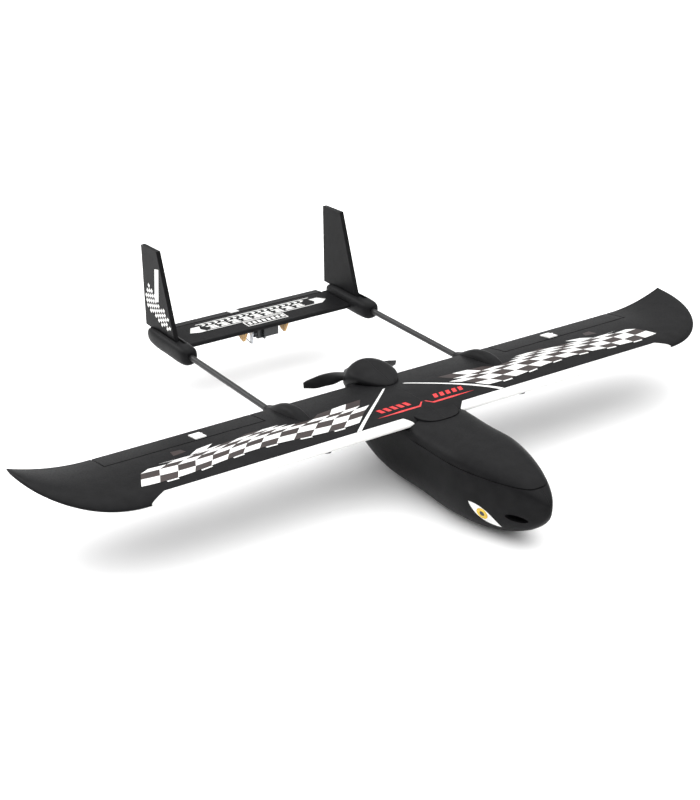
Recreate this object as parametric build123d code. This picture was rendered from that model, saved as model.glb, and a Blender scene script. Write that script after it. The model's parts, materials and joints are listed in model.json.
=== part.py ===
from build123d import *
import os
from math import atan2, copysign, cos, degrees, hypot, pi, sin

os.makedirs("parts", exist_ok=True)

# A twin-boom pusher model aeroplane of moulded foam, in millimetres.
# While it is built, x runs along the span, y runs aft from the aileron hinge
# line, and z is the height above the wing's top skin at that line.
# save() then moves every piece to the part's frame: nose towards -Y, belly on
# z = 0, and the origin under the middle of the overall length.
# Left and right are the aeroplane's own, so left is +X.
SIDES = {"left": 1, "right": -1}

# ---- overall ----
SPAN = 787.0
NOSE_Y = -247.7
TAIL_Y = 295.5
BELLY_Z = -78.0
MIDDLE_Y = (NOSE_Y + TAIL_Y) / 2
FAR = 1000.0  # larger than the object

# ---- fuselage ----
BODY_HALF = 38.9
BODY_TOP = -0.3
BODY_KEEL = -79.0  # the round keel, cut flat at BELLY_Z
BODY_MID = -29.6
NOSE_WIDTH_RUN, NOSE_WIDTH_POWER = 100.9, 1.44
NOSE_HEIGHT_RUN, NOSE_HEIGHT_POWER = 99.0, 1.87
BODY_UPPER_POWER, BODY_LOWER_POWER = 3.5, 2.5
TAPER_START = -45.0
BODY_WALL = 8.0
BAY_FRONT, BAY_REAR = -212.0, -12.0
SEAM_Z = -14.5  # the plane where the hatch meets the tub
SEAM_GAP = 0.5
SEAM_GROOVE = 0.9  # width and depth of the line around the hatch
INLET_CENTRE = (-221.0, -45.0)
INLET_LENGTH, INLET_HEIGHT = 21.0, 7.0

# ---- wing ----
HALF_SPAN = SPAN / 2
LE_Y, TE_Y = -80.0, 28.0
LE_Z, TE_Z = -4.8, -5.2
THICKNESS, CAMBER, CAMBER_AT = 0.12, 0.02, 0.4
TE_HALF = 0.8
TIP_START = 300.0
TIP_POWER = 2.3
TIP_CURL, TIP_CURL_START, TIP_CURL_RUN = 13.0, 318.0, 75.5
TIP_DROOP = 2.0
SADDLE_HALF, SADDLE_RUN, SADDLE_Y, SADDLE_TOP = 24.0, 27.5, -66.0, 0.4
STRIP_BACK = -71.5  # rear edge of the white leading edge
STRIP_INNER = ((28.0, -79.0), (35.5, STRIP_BACK))
STRIP_OUTER = ((291.0, STRIP_BACK), (307.6, -79.7))
SPAR_Y, SPAR_Z, SPAR_R, SPAR_HALF = -45.0, -3.0, 3.0, 190.0

# ---- ailerons and elevator ----
AILERON_INNER, AILERON_OUTER, END_GAP = 145.5, 314.5, 1.2
AILERON_AXIS = (0.0, -3.7)
AILERON_NOSE_R, AILERON_COVE_R = 3.7, 4.7
ELEVATOR_HALF = 101.5
ELEVATOR_AXIS = (281.5, -14.7)
ELEVATOR_NOSE_R, ELEVATOR_COVE_R = 2.3, 3.2
ELEVATOR_TE_Y = 294.0

# ---- pinned hinges ----
LEAF_THICK, LEAF_WIDTH, LEAF_LONG = 0.8, 10.0, 8.0
KNUCKLE_R, HINGE_PIN_R, PIN_CLEARANCE = 1.5, 0.5, 0.05
KNUCKLE_CLEAR_R = 1.9
AILERON_HINGES = (165.0, 230.0, 295.0)
ELEVATOR_HINGES = (-75.0, 0.0, 75.0)

# ---- tail ----
BOOM_X, BOOM_Z, BOOM_R, BOOM_WALL = 116.7, -12.5, 3.2, 0.8
BOOM_FRONT, BOOM_REAR = -52.0, 268.0
POD_FRONT, POD_GROOVE_FRONT = 197.5, 215.0
POD_HALF, POD_UP, POD_DOWN = 10.3, 9.5, 11.5
FIN_HALF = 2.6
FIN_OUTLINE = ((228.5, -6.0), (260.7, 87.0), (295.5, 85.5), (294.5, -6.0))
STAB_FRONT, STAB_HALF_THICK = 229.0, 2.5
STAB_Z = -14.7
STAB_HALF = 111.0

# ---- motor and propeller ----
SHAFT_Z = -14.0
RING_Y, RING_R = 57.0, 16.0
RING_BORE = 13.2
FIREWALL_Y, FIREWALL_THICK = 31.0, 3.0
MOTOR_R, BELL_LENGTH = 11.5, 12.0
SHAFT_R = 1.5
PROP_Y, PROP_R = 70.5, 57.5
BLADE_THICK = 1.6
HUB_R, HUB_LENGTH = 6.0, 7.0
COWL_FLOOR = -6.5  # the cowl's lowest point where it stands on the wing
COWL_SECTIONS = (  # station, half width, top, height of the widest point, bottom
    (-3.0, 2.5, 1.6, 0.6, -13.4),
    (0.0, 8.0, 3.2, 1.2, -12.8),
    (6.0, 14.0, 5.0, 1.6, -12.4),
    (14.0, 19.5, 6.8, 2.0, -12.0),
    (23.0, 23.0, 8.5, 2.0, -12.0),
    (32.0, 25.0, 10.8, 0.5, -13.5),
    (41.0, 25.5, 12.2, -3.0, -17.0),
    (48.0, 24.0, 11.3, -7.0, -21.0),
    (53.0, 20.5, 8.0, -10.5, -26.5),
    (57.0, 16.0, 2.0, -14.0, -30.0),
)

# ---- servos and linkages ----
# Each linkage is a parallelogram: the arm's hole hangs below the servo shaft by
# the same distance as the horn's hole hangs below the hinge axis.
AILERON_ARM_X, AILERON_SHAFT, AILERON_ARM_R = 214.0, (-41.0, -5.6), 9.5
ELEVATOR_ARM_X, ELEVATOR_SHAFT, ELEVATOR_ARM_R = -17.5, (241.0, -22.9), 11.0
ARM_THICK, ROD_R, ROD_OFFSET, ROD_HOLE_CLEARANCE = 1.6, 0.6, 1.7, 0.05
HORN_THICK = 1.6

# ---- battery bay ----
TRAY_SIZE, TRAY_CENTRE = (44.0, 154.0, 2.5), (0.0, -103.0, -61.5)
TRAY_TOP = TRAY_CENTRE[2] + TRAY_SIZE[2] / 2
BATTERY_SIZE = (34.0, 75.0, 26.0)
BATTERY_CENTRE = (0.0, -140.0, TRAY_TOP + BATTERY_SIZE[2] / 2)
STRAP_WIDTH, STRAP_THICK = 16.0, 1.0
ESC_SIZE = (24.0, 38.0, 8.0)
ESC_CENTRE = (0.0, -50.0, TRAY_TOP + ESC_SIZE[2] / 2)
RECEIVER_SIZE = (22.0, 26.0, 10.0)
RECEIVER_CENTRE = (0.0, -86.0, TRAY_TOP + RECEIVER_SIZE[2] / 2)
TUNNEL_Z, TUNNEL_R, WIRE_RISE_Y = -22.0, 5.0, -21.0
MAGNET_R, MAGNET_THICK = 2.5, 2.0
MAGNETS = ((33.0, -112.0), (26.4, -182.0))


def save(name, shape):
    """Move a piece to the part's frame and write it as its own file."""
    placed = Pos(0, -MIDDLE_Y, -BELLY_Z) * shape
    solids = placed.solids()
    export_step(Compound(children=list(solids)) if len(solids) > 1 else solids[0], f"parts/{name}.step")


def block(x0, x1, y0, y1, z0, z1):
    """A box between two corners."""
    return Pos((x0 + x1) / 2, (y0 + y1) / 2, (z0 + z1) / 2) * Box(x1 - x0, y1 - y0, z1 - z0)


def centred(size, centre):
    return Pos(*centre) * Box(*size)


def rod_x(radius, x0, x1, y, z):
    """A round bar along the span."""
    return Pos((x0 + x1) / 2, y, z) * Rot(0, 90, 0) * Cylinder(radius, x1 - x0)


def rod_y(radius, y0, y1, x, z):
    """A round bar along the length."""
    return Pos(x, (y0 + y1) / 2, z) * Rot(90, 0, 0) * Cylinder(radius, y1 - y0)


def rod_z(radius, z0, z1, x, y):
    return Pos(x, y, (z0 + z1) / 2) * Cylinder(radius, z1 - z0)


def prism_z(outline, z0, z1):
    """An upright prism on a plan outline."""
    return Pos(0, 0, z0) * extrude(make_face(Polyline(*outline, close=True)), z1 - z0)


def slab_x(outline, x0, x1):
    """A prism across the span on a side-view outline of (y, z) points."""
    face = make_face(Polyline(*[(x0, y, z) for y, z in outline], close=True))
    return extrude(face, x1 - x0, dir=(1, 0, 0))


def mirrored(shape):
    return mirror(shape, Plane.YZ)


def on_side(shape, side):
    """A shape drawn on the left, put on either side."""
    return shape if side > 0 else mirrored(shape)


def signed_power(value, exponent):
    return copysign(abs(value) ** exponent, value)


def oval(y, half, top, bottom, mid, upper=2.0, lower=2.0, x=0.0, count=24):
    """A rounded-square section across the length, with its own power above and below mid."""
    points = []
    for step in range(count):
        angle = 2 * pi * step / count
        power = upper if sin(angle) >= 0 else lower
        reach = top - mid if sin(angle) >= 0 else mid - bottom
        points.append((
            x + half * signed_power(cos(angle), 2 / power),
            y,
            mid + reach * signed_power(sin(angle), 2 / power),
        ))
    return Face(Wire([Spline(*points, periodic=True)]))


# ---------------------------------------------------------------- fuselage
def nose_share(y, run, power):
    reach = min(1.0, (y - NOSE_Y) / run)
    return (1 - (1 - reach) ** power) ** (1 / power)


def body_section(y, inset=0.0):
    """The fuselage's outer section at a station, or one inset by a wall."""
    width = BODY_HALF * nose_share(y, NOSE_WIDTH_RUN, NOSE_WIDTH_POWER)
    height = nose_share(y, NOSE_HEIGHT_RUN, NOSE_HEIGHT_POWER)
    top = BODY_MID + (BODY_TOP - BODY_MID) * height
    bottom = BODY_MID + (BODY_KEEL - BODY_MID) * height
    mid, upper, lower = BODY_MID, BODY_UPPER_POWER, BODY_LOWER_POWER
    if y > TAPER_START:
        run = (y - TAPER_START) / (RING_Y - TAPER_START)
        width += (RING_R - BODY_HALF) * run**3.2
        top += (SHAFT_Z + RING_R - BODY_TOP) * run**2
        bottom += (SHAFT_Z - RING_R - BODY_KEEL) * run**1.9
        mid += (SHAFT_Z - BODY_MID) * run**1.9
        upper += (2.0 - upper) * run
        lower += (2.0 - lower) * run
    return oval(y, width - inset, top - inset, bottom + inset, mid, upper, lower)


NOSE_STATIONS = [NOSE_Y + step for step in (0.4, 3.0, 9.0, 19.0, 33.0, 52.0, 76.0, 101.0)]
REAR_STATIONS = [TAPER_START + (RING_Y - TAPER_START) * step / 5 for step in range(1, 6)]
body = loft([body_section(y) for y in NOSE_STATIONS + [-96.0, TAPER_START] + REAR_STATIONS])
body = body & block(-FAR, FAR, -FAR, FAR, BELLY_Z, FAR)

BAY_STATIONS = [BAY_FRONT, -196.0, -172.0, -146.7, -96.0, TAPER_START, BAY_REAR]
bay = loft([body_section(y, BODY_WALL) for y in BAY_STATIONS])


def saddle_outline(grow):
    """Half of the rounded plan of the wing's saddle, from the centre line to its side."""
    points = []
    for step in range(13):
        angle = pi / 2 * step / 12
        points.append((
            (SADDLE_HALF + grow) * sin(angle) ** (2 / 2.8),
            SADDLE_Y - (SADDLE_RUN + grow) * cos(angle) ** (2 / 2.8),
        ))
    return points


def saddle_half(grow, z0, z1):
    """The left half of the saddle block that the hatch ends against."""
    front = Spline(*[(x, y, z0) for x, y in saddle_outline(grow)])
    side = Polyline(front @ 1, (SADDLE_HALF + grow, -50.0, z0), (0, -50.0, z0), front @ 0)
    return extrude(make_face(front + side), z1 - z0, dir=(0, 0, 1))


# ---------------------------------------------------------------- wing
def wing_section(x):
    """The wing's aerofoil section at a distance from the centre line."""
    out = max(0.0, (x - TIP_START) / (HALF_SPAN - TIP_START))
    chord = (TE_Y - LE_Y) * (1 - min(out, 0.9985) ** TIP_POWER) ** (1 / TIP_POWER)
    curl = TIP_CURL * (max(0.0, x - TIP_CURL_START) / TIP_CURL_RUN) ** 2
    rear_y = TE_Y + 2.6 * out**2
    front_y = rear_y - chord
    front_z = LE_Z + curl - TIP_DROOP * out**2
    rear_z = TE_Z + curl
    points = []
    count = 24
    for step in range(-count, count + 1):
        along = (1 - cos(pi * abs(step) / count)) / 2
        swell = 0.2969 * along**0.5 - 0.126 * along - 0.3516 * along**2
        swell += 0.2843 * along**3 - 0.1036 * along**4
        half = 5 * THICKNESS * swell * chord * (1 - 0.25 * out**2) + TE_HALF * along
        if along < CAMBER_AT:
            line = CAMBER / CAMBER_AT**2 * (2 * CAMBER_AT * along - along**2)
        else:
            line = CAMBER / (1 - CAMBER_AT) ** 2 * (1 - 2 * CAMBER_AT + 2 * CAMBER_AT * along - along**2)
        height = front_z + (rear_z - front_z) * along + line * chord
        points.append((x, front_y + chord * along, height - copysign(half, step)))
    skin = Spline(*points)
    edge = Line(skin @ 1, skin @ 0)
    return make_face(skin + edge)


TIP_STATIONS = (TIP_START, 314.0, 328.0, 342.0, 355.0, 366.0, 376.0, 384.0, 389.5, HALF_SPAN)
panel = extrude(wing_section(0.0), TIP_START, dir=(1, 0, 0))
tip = loft([wing_section(x) for x in TIP_STATIONS])
wing_blank = panel + tip

axis_y, axis_z = AILERON_AXIS
cove = rod_x(AILERON_COVE_R, AILERON_INNER, AILERON_OUTER, axis_y, axis_z)
aileron_room = cove + block(AILERON_INNER, AILERON_OUTER, axis_y, FAR, -FAR, FAR)
aileron_nose = rod_x(AILERON_NOSE_R, AILERON_INNER, AILERON_OUTER, axis_y, axis_z)
aileron_body = aileron_nose + block(AILERON_INNER, AILERON_OUTER, axis_y, FAR, -FAR, FAR)
aileron_span = block(AILERON_INNER + END_GAP, AILERON_OUTER - END_GAP, -FAR, FAR, -FAR, FAR)
aileron = wing_blank & (aileron_body & aileron_span)

strip_plan = [(STRIP_INNER[0][0], -FAR), *STRIP_INNER, *STRIP_OUTER, (STRIP_OUTER[1][0], -FAR)]
strip_room = prism_z(strip_plan, -FAR, FAR)
leading_edge = wing_blank & strip_room

wing = wing_blank - strip_room - aileron_room
wing = wing + saddle_half(0.0, SEAM_Z, SADDLE_TOP)
spar = rod_x(SPAR_R, -SPAR_HALF, SPAR_HALF, SPAR_Y, SPAR_Z)
spar = spar - rod_x(SPAR_R - BOOM_WALL, -SPAR_HALF, SPAR_HALF, SPAR_Y, SPAR_Z)
spar_hole = rod_x(SPAR_R, -1.0, SPAR_HALF, SPAR_Y, SPAR_Z)
wing = wing - spar_hole


# ---------------------------------------------------------------- hinges
def leaf(x, axis, aft):
    """One leaf of a pinned hinge: a plate, and the knuckles that it carries."""
    y, z = axis
    sign = 1 if aft else -1
    plate = centred(
        (LEAF_WIDTH, LEAF_LONG, LEAF_THICK),
        (x, y + sign * (KNUCKLE_CLEAR_R + LEAF_LONG / 2), z),
    )
    knuckle_starts = (-1.6,) if aft else (-5.0, 1.8)
    shape = plate
    for start in knuckle_starts:
        knuckle = rod_x(KNUCKLE_R, x + start, x + start + 3.2, y, z)
        neck_reach = sorted((y, y + sign * (KNUCKLE_CLEAR_R + 0.5)))
        neck = block(x + start, x + start + 3.2, *neck_reach, z - LEAF_THICK / 2, z + LEAF_THICK / 2)
        shape = shape + knuckle + neck
    bore = HINGE_PIN_R + PIN_CLEARANCE if aft else HINGE_PIN_R
    return shape - rod_x(bore, x - LEAF_WIDTH, x + LEAF_WIDTH, y, z)


def hinge_room(x, axis, half_height):
    """Room for the knuckles in the two foam parts beside the axis."""
    y, z = axis
    return block(
        x - LEAF_WIDTH / 2 - 0.4, x + LEAF_WIDTH / 2 + 0.4, y - FAR, y + KNUCKLE_CLEAR_R + 0.3,
        z - half_height, z + half_height,
    )


def hinge_pin(x, axis):
    return rod_x(HINGE_PIN_R, x - LEAF_WIDTH / 2, x + LEAF_WIDTH / 2, *axis)


# ---------------------------------------------------------------- linkage pieces
def servo(arm_x, shaft, length, thick, depth, drop):
    """A servo lying on its side: case, gearbox step and two ears, with its shaft along the span."""
    y, z = shaft
    front = y - length * 0.27
    case_end = arm_x + drop
    case = block(case_end, case_end + depth, front, front + length, z - thick / 2, z + thick / 2)
    gearbox = rod_x(thick / 2 - 0.3, case_end - 2.0, case_end + 1.0, y, z)
    ears = block(case_end + depth * 0.22, case_end + depth * 0.22 + 1.6,
                 front - 4.5, front + length + 4.5, z - thick / 2, z + thick / 2)
    shape = case + gearbox + ears
    for end in (front - 2.4, front + length + 2.4):
        shape = shape - rod_x(0.9, case_end, case_end + depth, end, z)
    return shape - rod_x(2.0 + PIN_CLEARANCE, case_end - 5.0, case_end + 1.5, y, z)


def servo_arm(arm_x, shaft, radius, drop):
    """An output arm hanging down from the shaft, with the stub of the shaft in its hub."""
    y, z = shaft
    half = ARM_THICK / 2
    hub = rod_x(3.2, arm_x - half, arm_x + half, y, z)
    end = rod_x(1.9, arm_x - half, arm_x + half, y, z - radius)
    web = slab_x([(y - 2.8, z), (y + 2.8, z), (y + 1.8, z - radius), (y - 1.8, z - radius)],
                 arm_x - half, arm_x + half)
    stub = rod_x(2.0, arm_x, arm_x + drop + 1.0, y, z)
    hole = rod_x(ROD_R + ROD_HOLE_CLEARANCE, arm_x - 2, arm_x + 2, y, z - radius)
    return hub + end + web + stub - hole


def horn(arm_x, axis, radius, base, plate_z, pad_shift):
    """A control horn: a base under the surface, two studs, and a blade down to the hole."""
    y, z = axis
    half = HORN_THICK / 2
    hole_z = z - radius
    blade = slab_x([(base[0], plate_z), (base[1], plate_z), (y + 2.0, hole_z), (y - 1.8, hole_z)],
                   arm_x - half, arm_x + half)
    end = rod_x(1.9, arm_x - half, arm_x + half, y, hole_z)
    foot = block(arm_x + pad_shift - 6.0, arm_x + pad_shift + 6.0, base[0], base[1], plate_z - 1.6, plate_z)
    hole = rod_x(ROD_R + ROD_HOLE_CLEARANCE, arm_x - 2, arm_x + 2, y, hole_z)
    return blade + end + foot - hole


def pushrod(arm_x, shaft, axis, radius, side):
    """A wire beside the arm and the horn, with both ends bent through their holes."""
    start_y, start_z = shaft[0], shaft[1] - radius
    end_y, end_z = axis[0], axis[1] - radius
    length = hypot(end_y - start_y, end_z - start_z)
    tilt = degrees(atan2(end_z - start_z, end_y - start_y))
    wire_x = arm_x + side * ROD_OFFSET
    middle = Pos(wire_x, (start_y + end_y) / 2, (start_z + end_z) / 2)
    wire = middle * Rot(tilt, 0, 0) * Rot(90, 0, 0) * Cylinder(ROD_R, length)
    for y, z in ((start_y, start_z), (end_y, end_z)):
        reach = sorted((wire_x, arm_x - side * 1.8))
        wire = wire + Pos(wire_x, y, z) * Sphere(ROD_R)
        wire = wire + rod_x(ROD_R, *reach, y, z)
    return wire


# ---------------------------------------------------------------- aileron sets
AILERON_HORN_BASE = (3.0, 13.0)
aileron_leaves_fixed, aileron_pins, aileron_leaves_moving = [], [], []
for x in AILERON_HINGES:
    fixed, moving = leaf(x, AILERON_AXIS, False), leaf(x, AILERON_AXIS, True)
    aileron = aileron - hinge_room(x, AILERON_AXIS, 2.4) - moving
    wing = wing - fixed
    aileron_leaves_fixed.append(fixed)
    aileron_leaves_moving.append(moving)
    aileron_pins.append(hinge_pin(x, AILERON_AXIS))

AILERON_SERVO_DROP = 3.4
aileron_servo = servo(AILERON_ARM_X, AILERON_SHAFT, 20.0, 8.6, 17.0, AILERON_SERVO_DROP)
shaft_y, shaft_z = AILERON_SHAFT
servo_pocket = block(AILERON_ARM_X - 4.0, AILERON_ARM_X + 21.5, shaft_y - 11.0, shaft_y + 20.0, -FAR,
                     shaft_z + 4.4)
wing = wing - servo_pocket
aileron_arm = servo_arm(AILERON_ARM_X, AILERON_SHAFT, AILERON_ARM_R, AILERON_SERVO_DROP)
aileron_rod = pushrod(AILERON_ARM_X, AILERON_SHAFT, AILERON_AXIS, AILERON_ARM_R, -1)
aileron_horn = horn(AILERON_ARM_X, AILERON_AXIS, AILERON_ARM_R, AILERON_HORN_BASE, -6.9, 0.0)
aileron_horn = aileron_horn - aileron
horn_studs = Part() + [
    rod_z(1.0, -8.4, 1.5, AILERON_ARM_X + shift, 8.0) for shift in (-4.0, 4.0)
]
aileron = aileron - horn_studs
aileron_horn = aileron_horn + horn_studs
HORN_PLATE_TILT = 9.0
aileron_horn_plate = Pos(AILERON_ARM_X, 8.6, -0.64) * Rot(-HORN_PLATE_TILT, 0, 0) * Box(11.5, 15.0, 1.6)
aileron_horn_plate = aileron_horn_plate - aileron - horn_studs

# ---------------------------------------------------------------- booms
mount_sections = (  # station, half width, top, bottom
    (-68.0, 2.0, -10.5, -14.5),
    (-60.0, 6.0, -7.5, -17.5),
    (-45.0, 8.6, -4.0, -19.5),
    (-24.0, 9.4, 5.5, -20.0),
    (-12.0, 9.6, 8.6, -20.0),
    (2.0, 9.6, 8.2, -20.0),
    (16.0, 9.5, 4.6, -20.0),
    (28.0, 8.8, -1.5, -19.2),
    (37.0, 7.4, -6.2, -18.0),
    (43.0, 5.6, -8.0, -17.0),
)
mount_blank = loft([
    oval(y, half, top, bottom, (top + bottom) / 2, 2.4, 2.4, BOOM_X) for y, half, top, bottom in mount_sections
])
boom_hole = rod_y(BOOM_R, BOOM_FRONT, FAR, BOOM_X, BOOM_Z)
boom_mount = mount_blank - wing_blank - boom_hole
boom = rod_y(BOOM_R, BOOM_FRONT, BOOM_REAR, BOOM_X, BOOM_Z)
boom = boom - rod_y(BOOM_R - BOOM_WALL, BOOM_FRONT, BOOM_REAR, BOOM_X, BOOM_Z)
wing = wing - rod_y(BOOM_R, BOOM_FRONT, TE_Y + 5.0, BOOM_X, BOOM_Z)

# ---------------------------------------------------------------- tail
pod_sections = (  # distance from the front end, share of the full section
    (0.0, 0.55), (1.5, 0.74), (4.0, 0.88), (8.0, 0.96), (14.0, 1.0), (40.0, 1.0), (66.0, 1.0),
    (76.0, 0.93), (83.0, 0.8), (87.0, 0.6),
)
pod = loft([
    oval(
        POD_FRONT + run, POD_HALF * share, BOOM_Z + POD_UP * share, BOOM_Z - POD_DOWN * share, BOOM_Z,
        2.8, 2.5, BOOM_X,
    )
    for run, share in pod_sections
])
pod_groove = block(BOOM_X - 4.2, BOOM_X + 4.2, POD_GROOVE_FRONT, TAIL_Y + 1, BOOM_Z + POD_UP - 2.2, FAR)
fin = slab_x(FIN_OUTLINE, BOOM_X - FIN_HALF, BOOM_X + FIN_HALF)
stab_blank = block(
    -STAB_HALF, STAB_HALF, STAB_FRONT, ELEVATOR_AXIS[0], STAB_Z - STAB_HALF_THICK, STAB_Z + STAB_HALF_THICK
)
front_edges = stab_blank.edges().filter_by(Axis.X).group_by(Axis.Y)[0]
stabilizer = fillet(front_edges, STAB_HALF_THICK * 0.9)
elevator_room = block(
    -ELEVATOR_HALF - END_GAP, ELEVATOR_HALF + END_GAP, ELEVATOR_AXIS[0], FAR, -FAR, FAR
) + rod_x(ELEVATOR_COVE_R, -ELEVATOR_HALF - END_GAP, ELEVATOR_HALF + END_GAP, *ELEVATOR_AXIS)
stabilizer = stabilizer - elevator_room
elevator = slab_x(
    [
        (ELEVATOR_AXIS[0], STAB_Z + STAB_HALF_THICK), (ELEVATOR_TE_Y, STAB_Z + 0.7),
        (ELEVATOR_TE_Y, STAB_Z - 0.7), (ELEVATOR_AXIS[0], STAB_Z - STAB_HALF_THICK),
    ],
    -ELEVATOR_HALF, ELEVATOR_HALF,
) + rod_x(ELEVATOR_NOSE_R, -ELEVATOR_HALF, ELEVATOR_HALF, *ELEVATOR_AXIS)
pod = pod - pod_groove - fin - stabilizer - rod_y(BOOM_R, 0, BOOM_REAR, BOOM_X, BOOM_Z)

elevator_leaves_fixed, elevator_pins, elevator_leaves_moving = [], [], []
for x in ELEVATOR_HINGES:
    fixed, moving = leaf(x, ELEVATOR_AXIS, False), leaf(x, ELEVATOR_AXIS, True)
    elevator = elevator - hinge_room(x, ELEVATOR_AXIS, 1.7) - moving
    stabilizer = stabilizer - fixed
    elevator_leaves_fixed.append(fixed)
    elevator_leaves_moving.append(moving)
    elevator_pins.append(hinge_pin(x, ELEVATOR_AXIS))

ELEVATOR_SERVO_DROP = 4.4
ELEVATOR_PAD_SHIFT = 3.5
STAB_UNDER = STAB_Z - STAB_HALF_THICK
elevator_servo = servo(ELEVATOR_ARM_X, ELEVATOR_SHAFT, 22.8, 11.8 - 2 * 0.3, 27.0, ELEVATOR_SERVO_DROP)
elevator_arm = servo_arm(ELEVATOR_ARM_X, ELEVATOR_SHAFT, ELEVATOR_ARM_R, ELEVATOR_SERVO_DROP)
elevator_rod = pushrod(ELEVATOR_ARM_X, ELEVATOR_SHAFT, ELEVATOR_AXIS, ELEVATOR_ARM_R, -1)
elevator_horn = horn(
    ELEVATOR_ARM_X, ELEVATOR_AXIS, ELEVATOR_ARM_R, (283.5, 291.5), STAB_UNDER + 1.4, ELEVATOR_PAD_SHIFT
)
pad_x = ELEVATOR_ARM_X + ELEVATOR_PAD_SHIFT
elevator_studs = Part() + [
    rod_z(0.9, STAB_UNDER - 0.2, STAB_Z + 2.6, pad_x + shift, 287.5) for shift in (-3.6, 3.6)
]
elevator_horn = elevator_horn - elevator + elevator_studs
elevator = elevator - elevator_studs
elevator_horn_plate = Pos(pad_x, 287.5, STAB_Z + 1.85) * Rot(-8.2, 0, 0) * Box(10.5, 10.5, 1.4)
elevator_horn_plate = elevator_horn_plate - elevator - elevator_studs

skid_outline = ((233.0, STAB_UNDER), (262.0, STAB_UNDER), (246.0, STAB_UNDER - 11.5), (240.0, STAB_UNDER - 13.0))
servo_skids = Part() + [slab_x(skid_outline, x, x + 3.0) for x in (-29.0, 24.0)]

# ---------------------------------------------------------------- motor
cowl_blank = loft([oval(y, half, top, bottom, mid) for y, half, top, mid, bottom in COWL_SECTIONS])
ring_bore = rod_y(RING_BORE, FIREWALL_Y, FAR, 0, SHAFT_Z)
upper_rear = block(-FAR, FAR, TE_Y + SEAM_GAP, FAR, SHAFT_Z, FAR)
motor_cowl = cowl_blank & block(-FAR, FAR, -FAR, FAR, SHAFT_Z, FAR)
motor_cowl = motor_cowl - block(-FAR, FAR, -FAR, TE_Y + SEAM_GAP, -FAR, COWL_FLOOR)
motor_cowl = motor_cowl + (body & upper_rear)
both_wings = wing_blank + mirrored(wing_blank)
motor_cowl = motor_cowl - both_wings - ring_bore

firewall = rod_y(RING_BORE, FIREWALL_Y, FIREWALL_Y + FIREWALL_THICK, 0, SHAFT_Z)
base_y = FIREWALL_Y + FIREWALL_THICK
motor_base = rod_y(8.0, base_y, base_y + 2.5, 0, SHAFT_Z)
for turn in range(4):
    spoke = Pos(0, base_y + 1.25, SHAFT_Z) * Rot(0, 45 + 90 * turn, 0) * Pos(5.0, 0, 0) * Box(10.0, 2.5, 4.0)
    motor_base = motor_base + spoke
motor_base = motor_base + rod_y(3.0, base_y + 2.5, base_y + 13.5, 0, SHAFT_Z)
motor_base = motor_base - rod_y(SHAFT_R + PIN_CLEARANCE, base_y - 0.5, base_y + 17.0, 0, SHAFT_Z)
SCREW_CIRCLE_R = 8.0
screws = Part()
for turn in range(4):
    place = Pos(0, 0, SHAFT_Z) * Rot(0, 45 + 90 * turn, 0) * Pos(SCREW_CIRCLE_R, 0, 0)
    shank = place * rod_y(1.0, base_y - FIREWALL_THICK, base_y + 2.5, 0, 0)
    head = place * rod_y(1.9, base_y + 2.5, base_y + 4.0, 0, 0)
    motor_base = motor_base - shank
    firewall = firewall - shank
    screws = screws + shank + head

stator_y = base_y + 4.6
stator = rod_y(9.2, stator_y, stator_y + 8.0, 0, SHAFT_Z)
for turn in range(9):
    slot = Pos(0, stator_y + 4.0, SHAFT_Z) * Rot(0, 40 * turn, 0) * Pos(7.4, 0, 0) * Box(5.2, 9.0, 1.6)
    stator = stator - slot
stator = stator - rod_y(3.0, stator_y - 1, stator_y + 9.0, 0, SHAFT_Z)
bell_y = base_y + 4.8
bell_end = bell_y + BELL_LENGTH
motor_bell = rod_y(MOTOR_R, bell_y, bell_end, 0, SHAFT_Z)
motor_bell = motor_bell - rod_y(MOTOR_R - 1.6, bell_y - 1, bell_end - 2.0, 0, SHAFT_Z)
for turn in range(6):
    window = Pos(0, bell_end - 1.0, SHAFT_Z) * Rot(0, 60 * turn, 0) * Pos(6.8, 0, 0) * Box(4.4, 3.0, 3.6)
    motor_bell = motor_bell - window
motor_bell = motor_bell + rod_y(3.4, bell_end - 2.0, PROP_Y - HUB_LENGTH / 2, 0, SHAFT_Z)
motor_bell = motor_bell - rod_y(SHAFT_R, bell_y, PROP_Y, 0, SHAFT_Z)
motor_shaft = rod_y(SHAFT_R, base_y + 1.0, PROP_Y + HUB_LENGTH / 2 + 6.5, 0, SHAFT_Z)


def blade_section(reach, chord, pitch):
    """A thin section across a blade at a distance from the hub."""
    half = BLADE_THICK / 2 * (1.15 - 0.5 * reach / PROP_R)
    plane = Plane(origin=(reach, 0, 0), x_dir=(0, -sin(pitch), cos(pitch)), z_dir=(1, 0, 0))
    return plane * Ellipse(chord / 2, half)


blade_run = (  # distance from the hub, chord, pitch in radians
    (4.5, 7.0, 0.75), (12.0, 9.5, 0.66), (24.0, 12.8, 0.48), (38.0, 12.6, 0.34), (50.0, 9.6, 0.27), (PROP_R, 6.2, 0.24),
)
blade = loft([blade_section(*row) for row in blade_run])
PROP_TURN = 1.5
propeller = rod_y(HUB_R, PROP_Y - HUB_LENGTH / 2, PROP_Y + HUB_LENGTH / 2, 0, SHAFT_Z)
for turn in (0, 180):
    propeller = propeller + Pos(0, PROP_Y, SHAFT_Z) * Rot(0, PROP_TURN + turn, 0) * blade
propeller = propeller - rod_y(SHAFT_R, 0, FAR, 0, SHAFT_Z)
washer_y = PROP_Y + HUB_LENGTH / 2
nut = Pos(0, washer_y + 2.6, SHAFT_Z) * Rot(90, 0, 0) * extrude(RegularPolygon(3.2, 6), 1.8, both=True)
prop_nut = rod_y(3.8, washer_y, washer_y + 0.8, 0, SHAFT_Z) + nut - rod_y(SHAFT_R, 0, FAR, 0, SHAFT_Z)

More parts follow.
